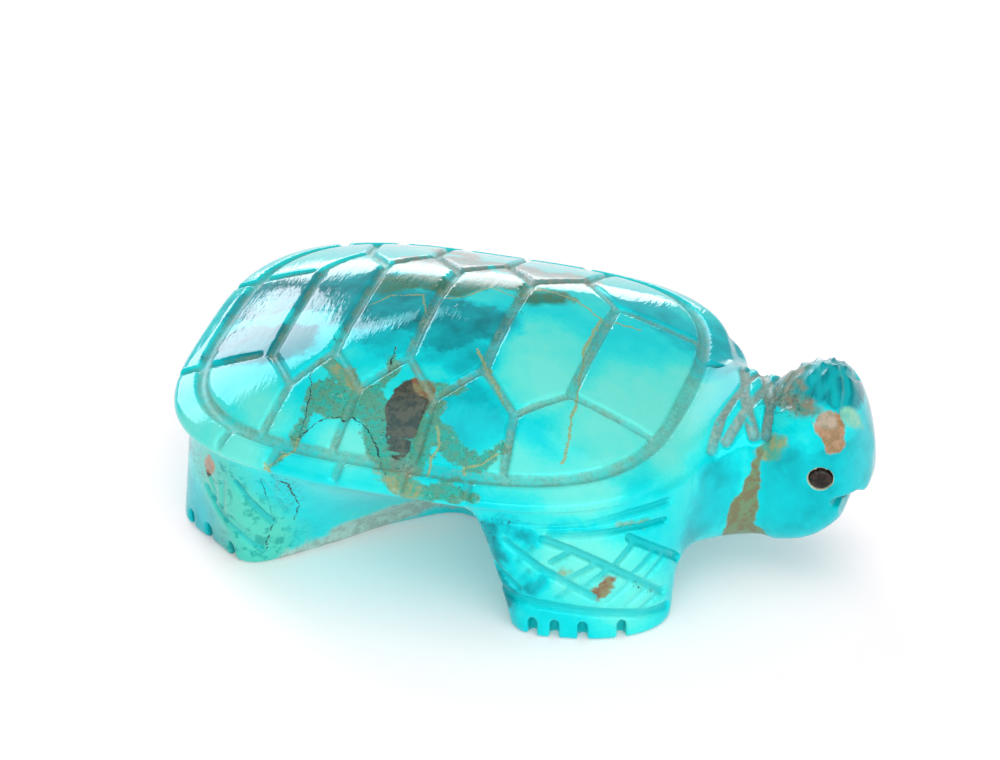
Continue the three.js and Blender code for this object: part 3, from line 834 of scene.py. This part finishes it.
def stone_figure():
    points, quads, uncut, grid = carved_stone()
    mesh = bpy.data.meshes.new("stone")
    places = (points + (TO_MIDDLE, 0, 0)) * TO_METRES
    mesh.from_pydata(places.tolist(), [], quads.tolist())
    mesh.update()
    stone = link_mesh("stone_figure", mesh)
    stone.data = thinned(stone)
    stone.data.name = "stone"
    places = vertex_places(stone.data)
    give(stone.data, "cut_depth", -sample(uncut, grid, places))
    for name, chains in AREAS.items():
        give(stone.data, name, inside_area(places, chains))
    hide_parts("turtle_figure")
    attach(stone, "root")
    return stone


# Profile of an eye disc from its back to the middle of its face: share of the radius and height
EYE_PROFILE = (
    (0, -0.85), (0.9, -0.85), (0.97, -0.78), (0.97, -0.05), (0.95, 0), (0.88, 0.035), (0.6, 0.075),
    (0.3, 0.095), (0, 0.1),
)
DISC_RADIUS = 0.58
EYE_CORNERS = 72
EYE_NICK = dict(angle=1.9, width=0.16, depth=0.1, lowest=-0.3)
EYE_UNEVEN = ((3, 1, 0.012), (7, 0, 0.008))


def disc_radius(angle, share, rise):
    """Radius of a ring of points, uneven as ground by hand, with a nick near the face."""
    nick = math.exp(-((angle - EYE_NICK["angle"]) / EYE_NICK["width"]) ** 2) * EYE_NICK["depth"]
    if rise <= EYE_NICK["lowest"]:
        nick = 0
    uneven = sum(size * math.sin(waves * angle + start) for waves, start, size in EYE_UNEVEN)
    return DISC_RADIUS * (share - nick * share ** 4) * (1 + uneven)


def eye_mesh(name, side):
    turn = EYE["turn"]
    face_way = Vector((math.sin(turn), side * math.cos(turn), 0))
    ahead = Vector((math.cos(turn), -side * math.sin(turn), 0))
    upwards = Vector((0, 0, 1))
    centre = Vector((EYE["along"] + TO_MIDDLE, side * EYE["across"], EYE["height"]))
    shape = bmesh.new()
    rings = []
    for share, rise in EYE_PROFILE:
        ring = []
        for k in range(EYE_CORNERS if share else 1):
            angle = 2 * math.pi * k / EYE_CORNERS
            way = ahead * math.cos(angle) + upwards * math.sin(angle)
            point = centre + way * disc_radius(angle, share, rise) + face_way * rise
            ring.append(shape.verts.new(point * TO_METRES))
        rings.append(ring)
    for low, high in zip(rings[:-1], rings[1:]):
        for k in range(EYE_CORNERS):
            n = (k + 1) % EYE_CORNERS
            corners = [low[k % len(low)], low[n % len(low)], high[n % len(high)], high[k % len(high)]]
            shape.faces.new(list(dict.fromkeys(corners)))
    bmesh.ops.recalc_face_normals(shape, faces=shape.faces)
    mesh = bpy.data.meshes.new(name)
    shape.to_mesh(mesh)
    shape.free()
    return mesh


def eye_disc(name, side):
    """A ground jet disc, barely domed, with a nick in its upper edge."""
    eye = link_mesh(name + "_inlay", eye_mesh(name + "_inlay", side))
    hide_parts(name)
    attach(eye, "root")
    return eye


# Materials

def linear(value):
    value /= 255
    return value / 12.92 if value <= 0.04045 else ((value + 0.055) / 1.055) ** 2.4


def shader_colour(colour):
    """A shader colour from display values of 0 to 255. A node's output stays as it is."""
    if isinstance(colour, bpy.types.NodeSocket):
        return colour
    return (*[linear(value) for value in colour], 1)


class Surface:
    """A material on the Principled shader. Each call adds nodes and gives their output."""

    def __init__(self, name):
        self.material = bpy.data.materials.new(name)
        self.material.use_nodes = True
        self.tree = self.material.node_tree
        self.shader = self.tree.nodes["Principled BSDF"]

    def node(self, kind, inputs, **settings):
        made = self.tree.nodes.new("ShaderNode" + kind)
        for name, value in settings.items():
            setattr(made, name, value)
        for name, value in inputs.items():
            self.plug(made.inputs[name], value)
        return made

    def plug(self, socket, value):
        if isinstance(value, bpy.types.NodeSocket):
            self.tree.links.new(value, socket)
        else:
            socket.default_value = value

    def set(self, name, value):
        self.plug(self.shader.inputs[name], value)

    def math(self, operation, *values, clamp=False):
        inputs = dict(enumerate(values))
        return self.node("Math", inputs, operation=operation, use_clamp=clamp).outputs[0]

    def add(self, first, second, *others):
        total = self.math("ADD", first, second)
        return self.add(total, *others) if others else total

    def times(self, first, second, *others):
        product = self.math("MULTIPLY", first, second)
        return self.times(product, *others) if others else product

    def less(self, value, taken):
        return self.math("SUBTRACT", value, taken)

    def vector(self, operation, *values):
        made = self.node("VectorMath", dict(enumerate(values)), operation=operation)
        return made.outputs["Value" if operation in ("DISTANCE", "DOT_PRODUCT") else "Vector"]

    def millimetres(self):
        here = self.node("TexCoord", {}).outputs["Object"]
        return self.vector("MULTIPLY_ADD", here, (TO_MILLIMETRES,) * 3, (-TO_MIDDLE, 0, 0))

    def step(self, value, low, high):
        """0 at low and before it, 1 at high and past it, smoothly between."""
        inputs = {"Value": value, "From Min": low, "From Max": high}
        return self.node("MapRange", inputs, interpolation_type="SMOOTHSTEP").outputs[0]

    def noise(self, vector, scale, detail, roughness=0.55, colour=False):
        inputs = {"Vector": vector, "Scale": scale, "Detail": detail, "Roughness": roughness}
        return self.node("TexNoise", inputs).outputs[1 if colour else 0]

    def mix(self, share, first, second):
        inputs = {0: share, 6: shader_colour(first), 7: shader_colour(second)}
        return self.node("Mix", inputs, data_type="RGBA").outputs[2]

    def ramp(self, value, stops):
        made = self.node("ValToRGB", {"Fac": value})
        elements = made.color_ramp.elements
        while len(elements) < len(stops):
            elements.new(0.5)
        for element, (position, colour) in zip(elements, stops):
            element.position = position
            element.color = shader_colour(colour)
        return made.outputs["Color"]

    def attribute(self, name):
        return self.node("Attribute", {}, attribute_name=name).outputs["Fac"]

    def bump(self, height, strength, distance):
        inputs = {"Strength": strength, "Distance": distance, "Height": height}
        return self.node("Bump", inputs).outputs[0]


# Colours of the stone, as display values of 0 to 255
TURQUOISE_TONES = (
    (0.08, (104, 218, 204)), (0.3, (52, 214, 208)), (0.46, (0, 204, 208)), (0.66, (0, 184, 192)),
    (0.9, (0, 122, 130)),
)
FOOT_GREENS = ((84, 190, 164), (34, 138, 118))
# Painted shade for the cuts: two deeper turquoises, the second for the cuts on top of the shell
CUT_SHADE_TURQUOISES = ((0, 172, 176), (0, 148, 150))
MATRIX_GREENS = ((44, 158, 138), (84, 138, 106))
MATRIX_PALE = (128, 160, 118)
MATRIX_GRAIN = (66, 92, 68)
MATRIX_EDGE = (132, 136, 88)
GOLDS = ((112, 150, 104), (168, 164, 98))
CRACK_BROWN = (34, 34, 28)
SHELL_GRITS = ((150, 162, 136), (104, 146, 126))
NECK_GRITS = ((150, 158, 144), (118, 138, 126))
FLECK_GREEN = (40, 52, 40)
GLUE = (176, 180, 152)

# Patches: area, softness of the edge, raggedness and two mottled colours
PATCHES = (
    ("moss", 0.3, 0.6, (0, 120, 104), (48, 108, 78)),
    ("host", 0.3, 0.8, (166, 196, 186), (146, 166, 154)),
    # Grey on the far plates is partly a painted reflection of the pale backdrop
    ("grey_and_sheen", 0.2, 1.2, (132, 146, 138), (92, 150, 144)),
    ("beige", 0.2, 0.7, (128, 124, 102), (76, 136, 124)),
    ("olive", 0.2, 0.7, (140, 150, 104), (76, 156, 132)),
    ("mint", 0.15, 0.45, (140, 196, 164), (112, 186, 168)),
    ("tan", 0.08, 0.45, (116, 106, 68), (108, 130, 90)),
    ("umber", 0.05, 0.45, (58, 50, 38), (86, 76, 58)),
    ("rust", 0.1, 0.6, (128, 84, 56), (128, 124, 84)),
    ("pink", 0.08, 0.6, (168, 128, 94), (140, 108, 66)),
)


class Turquoise(Surface):
    """The carved stone, coloured in layers. Each layer covers the colour below."""

    def __init__(self):
        super().__init__("turquoise_stone")
        self.place = self.millimetres()
        self.along, self.across, self.height = self.node("SeparateXYZ", {0: self.place}).outputs

        # Noises, from clouds to specks: scale per millimetre, detail, roughness
        self.broad = self.noise(self.place, 0.22, 3)
        self.middle = self.noise(self.place, 0.8, 5, 0.6)
        self.mottle = self.noise(self.place, 1.7, 6, 0.68)
        self.fine = self.noise(self.place, 4.5, 4, 0.6)
        self.speck = self.noise(self.place, 11, 2, 0.7)

        # Grain, and how far it shifts edges
        self.grain = self.add(self.times(self.fine, 0.45), self.times(self.speck, 0.55))
        middle_swing = self.less(self.middle, 0.5)
        fine_swing = self.less(self.fine, 0.5)
        self.ragged = self.add(self.times(middle_swing, 1.6), self.times(fine_swing, 0.5))
        self.uneven = self.times(fine_swing, 0.18)

        # 1 in the cuts, and 1 on the shell
        self.groove = self.step(self.attribute("cut_depth"), 0.05, 0.2)
        self.on_shell = self.step(self.along, 17.6, 13.5)

    def depth_in(self, area, rag=1.0):
        """Millimetres inside an area with a ragged edge."""
        return self.add(self.attribute(area), self.times(self.ragged, rag))

    def mask(self, area, edge, rag=1.0):
        return self.step(self.depth_in(area, rag), -edge, edge)

    def cover(self, share, colour):
        self.colour = self.mix(share, self.colour, colour)

    def clouds(self):
        deep = self.times(self.mask("deep", 0.45, 1.2), 0.42)
        middling = self.times(self.mask("middle", 0.5), 0.28)
        light = self.times(self.mask("light", 1.0, 2.0), 0.3)
        tone = self.add(self.times(self.broad, 0.5), self.times(self.middle, 0.35))
        tone = self.less(self.add(tone, self.math("MAXIMUM", deep, middling)), light)
        self.colour = self.ramp(tone, TURQUOISE_TONES)

    def green_foot(self):
        mottled = self.mix(self.step(self.mottle, 0.5, 0.62), *FOOT_GREENS)
        self.cover(self.times(self.mask("green", 1.2, 1.5), 0.75), mottled)

    def shaded_cuts(self):
        """Painted shade in the cuts: deeper turquoise, darker but thinner on top of the shell."""
        upper = self.times(self.on_shell, self.step(self.height, 6.4, 7.4))
        shade = self.math("MULTIPLY_ADD", upper, -0.35, 0.65)
        # Painted shade: the cuts are mixed toward deeper turquoise
        self.cover(self.times(self.groove, shade), self.mix(upper, *CUT_SHADE_TURQUOISES))

    def matrix(self):
        """Dull green-brown matrix, speckled, with a broken olive line along its edge."""
        speckle = self.mix(self.step(self.mottle, 0.42, 0.56), *MATRIX_GREENS)
        speckle = self.mix(self.step(self.mottle, 0.38, 0.33), speckle, MATRIX_PALE)
        speckle = self.mix(self.step(self.grain, 0.53, 0.62), speckle, MATRIX_GRAIN)
        depth = self.depth_in("matrix")
        self.dull = self.step(depth, -0.12, 0.12)
        self.cover(self.times(self.dull, 0.92), speckle)
        edge = self.less(1.0, self.step(self.math("ABSOLUTE", depth), 0.02, 0.07))
        broken = self.step(self.middle, 0.5, 0.6)
        self.cover(self.times(edge, broken, 0.4), MATRIX_EDGE)

    def patches(self):
        for area, edge, rag, first, second in PATCHES:
            mask = self.mask(area, edge, rag)
            self.cover(mask, self.mix(self.step(self.mottle, 0.42, 0.58), first, second))
            self.dull = self.math("MAXIMUM", self.dull, mask)

    def lines(self, place, flat, lines):
        """1 on thin lines, 0 away from them. They have no place along the flat axis."""
        best = None
        for width, *corners in lines:
            for start, end in zip(corners[:-1], corners[1:]):
                start, end = Vector(np.insert(start, flat, 0)), Vector(np.insert(end, flat, 0))
                way = end - start
                along = self.vector("DOT_PRODUCT", place, tuple(way / way.length_squared))
                share = self.math("ADD", along, -start.dot(way) / way.length_squared, clamp=True)
                nearest = self.vector("MULTIPLY_ADD", share, tuple(way), tuple(start))
                far = self.less(self.vector("DISTANCE", place, nearest), width)
                best = far if best is None else self.math("MINIMUM", best, far)
        return self.step(self.add(best, self.uneven), 0.03, -0.02)

    def veins(self):
        """Gold veins on the shell, and cracks there and on the right flank."""
        bend = self.noise(self.place, 1.6, 4, 0.6, colour=True)
        bend = self.vector("SUBTRACT", bend, (0.5, 0.5, 0.5))
        bent = self.vector("MULTIPLY_ADD", bend, (0.5, 0.5, 0.5), self.place)
        from_above = self.vector("MULTIPLY", bent, (1, 1, 0))
        from_side = self.vector("MULTIPLY", bent, (1, 0, 1))
        on_top = self.step(self.height, 7.4, 7.7)
        on_right = self.times(self.less(1.0, on_top), self.step(self.across, 0, -1))
        gold = self.times(self.lines(from_above, 2, GOLD_ON_TOP), on_top, 0.85)
        self.cover(gold, self.mix(self.step(self.speck, 0.4, 0.6), *GOLDS))
        top_crack = self.lines(from_above, 2, CRACKS_ON_TOP)
        side_crack = self.lines(from_side, 1, CRACKS_ON_FLANK)
        self.crack = self.math("MAXIMUM", self.times(top_crack, on_top), self.times(side_crack, on_right))
        self.cover(self.crack, CRACK_BROWN)

    def grit(self):
        """Pale grit in the cuts of the shell and of the neck."""
        grains = self.step(self.add(self.times(self.grain, 0.6), self.times(self.middle, 0.5)), 0.44, 0.64)
        half = self.step(self.fine, 0.4, 0.6)
        on_shell = self.times(self.groove, grains, self.on_shell, self.step(self.height, 7.2, 9.2), 0.7)
        self.cover(on_shell, self.mix(half, *SHELL_GRITS))
        neck_run = self.times(self.step(self.along, 13.8, 14.6), self.step(self.along, 18.8, 17.8))
        clots = self.step(self.mottle, 0.34, 0.46)
        on_neck = self.times(self.groove, neck_run, clots, self.step(self.height, 7.3, 9.2), 0.85)
        self.cover(on_neck, self.mix(half, *NECK_GRITS))

    def flecks(self):
        specks = self.times(self.mask("flecks", 0.2), self.step(self.grain, 0.54, 0.6), 0.8)
        self.cover(specks, FLECK_GREEN)

    def glue(self):
        for side in (RIGHT, LEFT):
            centre = (EYE["along"], side * EYE["across"], EYE["height"])
            away = self.add(self.vector("DISTANCE", self.place, centre), self.times(self.uneven, 0.6))
            ring = self.step(away, EYE["radius"] + 0.1, EYE["radius"] + 0.04)
            self.cover(ring, GLUE)

    def polish(self):
        """Roughness of the polish, duller in cuts, soft patches and the neck's valley."""
        rough = self.math("MULTIPLY_ADD", self.fine, 0.06, 0.03)
        for dull, share in ((self.dull, 0.12), (self.groove, 0.3), (self.mask("matt", 0.9, 0.5), 0.4)):
            rough = self.add(rough, self.times(dull, share))
        return rough

    def relief(self):
        """Wheel marks along the figure, pits in the cuts, and the cracks."""
        marks = self.noise(self.vector("MULTIPLY", self.place, (5, 0.8, 0.8)), 1.0, 2)
        surface = self.less(self.add(marks, self.times(self.middle, 0.6)), self.times(self.crack, 0.8))
        surface = self.add(surface, self.times(self.speck, self.groove, 0.8))
        return self.bump(surface, 0.35, 0.00004)


def turquoise_material():
    stone = Turquoise()
    stone.clouds()
    stone.green_foot()
    stone.shaded_cuts()
    stone.matrix()
    stone.patches()
    stone.veins()
    stone.grit()
    stone.flecks()
    stone.glue()
    stone.set("Base Color", stone.colour)
    stone.set("Roughness", stone.polish())
    stone.set("IOR", 1.6)
    stone.set("Specular Tint", (0.12, 0.85, 1.0, 1))
    stone.set("Normal", stone.relief())
    return stone.material


def jet_material():
    jet = Surface("jet")
    place = jet.millimetres()
    cloud = jet.noise(place, 3.2, 3)
    grain = jet.noise(place, 16, 3)
    jet.set("Base Color", jet.ramp(cloud, ((0.4, (14, 10, 9)), (0.66, (52, 38, 30)))))
    jet.set("IOR", 1.35)
    jet.set("Roughness", jet.math("MULTIPLY_ADD", grain, 0.2, 0.08))
    jet.set("Normal", jet.bump(grain, 0.3, 0.00003))
    return jet.material


def floor_material():
    white = Surface("white_floor")
    white.set("Base Color", (0.96, 0.89, 0.895, 1))
    white.set("Roughness", 0.9)
    white.set("Emission Color", (1, 0.92, 0.92, 1))
    white.set("Emission Strength", 0.12)
    return white.material


# Floor, light and camera

WORLD_BRIGHTNESS = 0.45

# Light panels: azimuth, elevation, distance, width and height, brightness and colour
PANELS = (
    ("left_box", -46, 25.5, 0.6, (0.27, 0.37), 5.2, (1, 0.74, 0.78)),
    ("strip", -27, 37, 0.6, (0.13, 0.085), 2.4, (1, 1, 1)),
    ("backdrop", -17, 5, 0.95, (0.5, 0.2), 5, (1, 0.84, 0.84)),
    ("front", 148, 20, 0.7, (1.1, 0.34), 3.4, (1, 1, 1)),
    ("overhead", 163, 78, 0.8, (0.9, 0.9), 1.1, (1, 1, 1)),
)

CAMERA_AZIMUTH = 16.4
CAMERA_ELEVATION = 31.94
CAMERA_DISTANCE = 0.28
SENSOR_WIDTH = 36
PIXELS_PER_METRE = 19000
IMAGE_SIZE = (1000, 760)

# Where the photo shows the point over the shell's middle at this height
SHELL_PIXEL = (455.06, 371.58)
SHELL_PIXEL_HEIGHT = 8.0


def pale_floor():
    mesh = bpy.data.meshes.new("floor")
    mesh.from_pydata([(-1, -1, 0), (1, -1, 0), (1, 1, 0), (-1, 1, 0)], [], [(0, 1, 2, 3)])
    mesh.materials.append(floor_material())
    floor = linked("floor", mesh)


def toward(azimuth, elevation):
    """The way from the figure to a place, by degrees from +Y to +X and up."""
    a, e = math.radians(azimuth), math.radians(elevation)
    return Vector((math.sin(a) * math.cos(e), math.cos(a) * math.cos(e), math.sin(e)))


def light_panel(name, azimuth, elevation, distance, size, brightness, colour):
    data = bpy.data.lights.new(name, "AREA")
    data.color = colour
    data.shape = "RECTANGLE"
    data.size, data.size_y = size
    data.energy = brightness * math.pi * size[0] * size[1]
    lamp = linked(name, data)
    way = toward(azimuth, elevation)
    lamp.location = way * distance
    lamp.rotation_euler = way.to_track_quat("Z", "Y").to_euler()
    lamp.visible_camera = False


def white_world():
    world = bpy.data.worlds.new("studio")
    world.use_nodes = True
    background = world.node_tree.nodes["Background"]
    background.inputs["Color"].default_value = (1, 1, 1, 1)
    background.inputs["Strength"].default_value = WORLD_BRIGHTNESS
    bpy.context.scene.world = world


def photo_camera():
    """A camera at the photo's angle, with the shell where the photo has it."""
    back = toward(180 - CAMERA_AZIMUTH, CAMERA_ELEVATION)
    right = toward(90 - CAMERA_AZIMUTH, 0)
    up = back.cross(right)
    shell = Vector((TO_MIDDLE, 0, SHELL_PIXEL_HEIGHT)) * TO_METRES
    to_right = (IMAGE_SIZE[0] / 2 - SHELL_PIXEL[0]) / PIXELS_PER_METRE
    to_down = (IMAGE_SIZE[1] / 2 - SHELL_PIXEL[1]) / PIXELS_PER_METRE
    aim = shell + right * to_right - up * to_down
    data = bpy.data.cameras.new("camera")
    data.lens = PIXELS_PER_METRE * CAMERA_DISTANCE * SENSOR_WIDTH / IMAGE_SIZE[0]
    data.sensor_width = SENSOR_WIDTH
    data.clip_start = 0.01
    camera = linked("camera", data)
    camera.location = aim + back * CAMERA_DISTANCE
    camera.rotation_euler = back.to_track_quat("Z", "Y").to_euler()
    bpy.context.scene.camera = camera


stone_figure().data.materials.append(turquoise_material())
jet = jet_material()
for name, side in (("right_eye", RIGHT), ("left_eye", LEFT)):
    eye_disc(name, side).data.materials.append(jet)
pale_floor()
white_world()
for panel in PANELS:
    light_panel(*panel)
photo_camera()
bpy.context.scene.view_settings.view_transform = "Standard"
